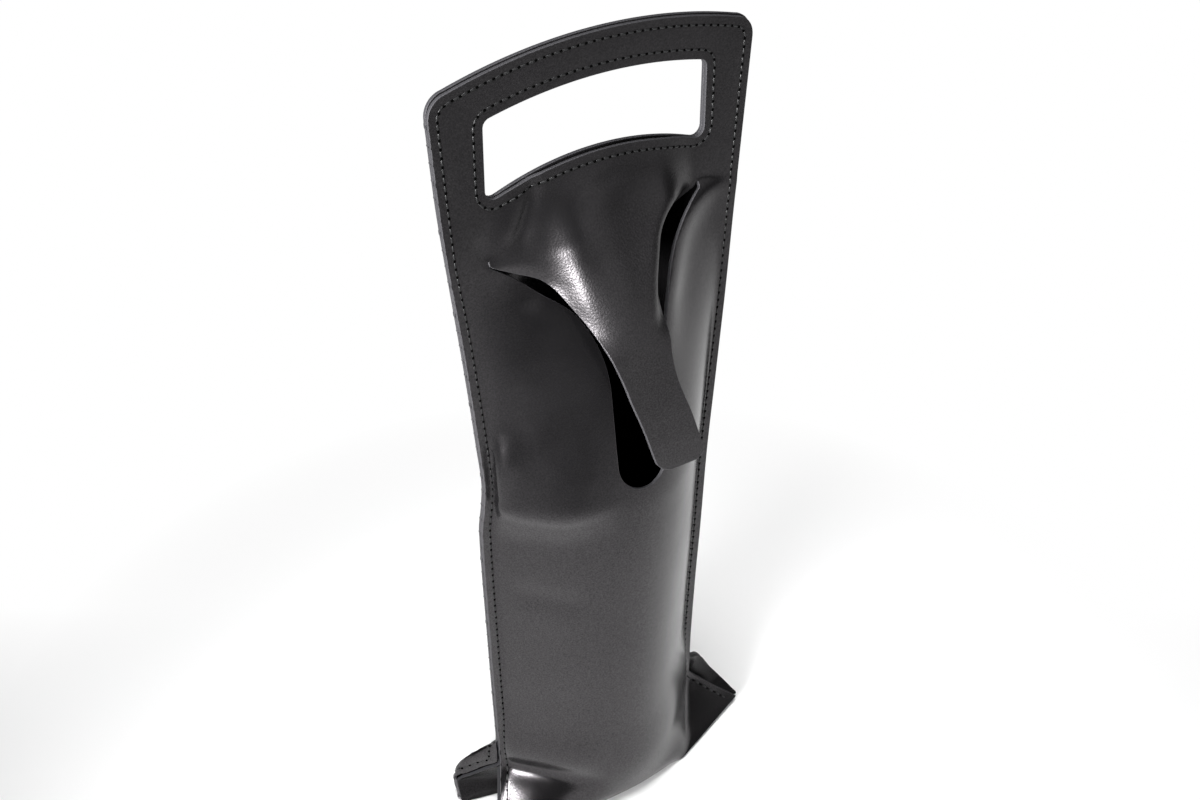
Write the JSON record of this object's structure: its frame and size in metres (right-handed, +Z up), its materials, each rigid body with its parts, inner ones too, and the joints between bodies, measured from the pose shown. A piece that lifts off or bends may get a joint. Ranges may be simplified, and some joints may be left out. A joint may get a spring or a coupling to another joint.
{
  "type": "bottle carrier",
  "caption": "Tall sewn leather carrier for a wine bottle, with a flat arched handle and hand hole, a cut-out front tongue that lifts, and a folded gusset base.",
  "frame": {"origin": "on the floor, in the middle of the base gusset, in the plane of the side seams", "axes": "+Z up, front with the tongue faces -Y, +X to the right seen from the front"},
  "size_m": [0.176, 0.0868, 0.426],
  "materials": {
    "black_leather": "smooth black hide, semi-gloss, fine grain, dyed raw edges",
    "black_thread": "waxed black sewing thread"
  },
  "bodies": {
    "carrier": {"front_panel": "black_leather", "back_panel": "black_leather", "base_gusset": "black_leather", "outer_seam_front_thread": "black_thread", "outer_seam_back_thread": "black_thread", "hand_hole_front_thread": "black_thread", "hand_hole_back_thread": "black_thread", "left_front_leg_seam": "black_thread", "left_back_leg_seam": "black_thread", "right_front_leg_seam": "black_thread", "right_back_leg_seam": "black_thread"},
    "tongue": {"closure_tongue": "black_leather"}
  },
  "joints": [
    {"name": "tongue_lift", "type": "hinge", "parent": "carrier", "child": "tongue", "pos_m": [0, -0.0027, 0.338], "axis": [-1, 0, 0], "range_deg": [0, 115]}
  ]
}
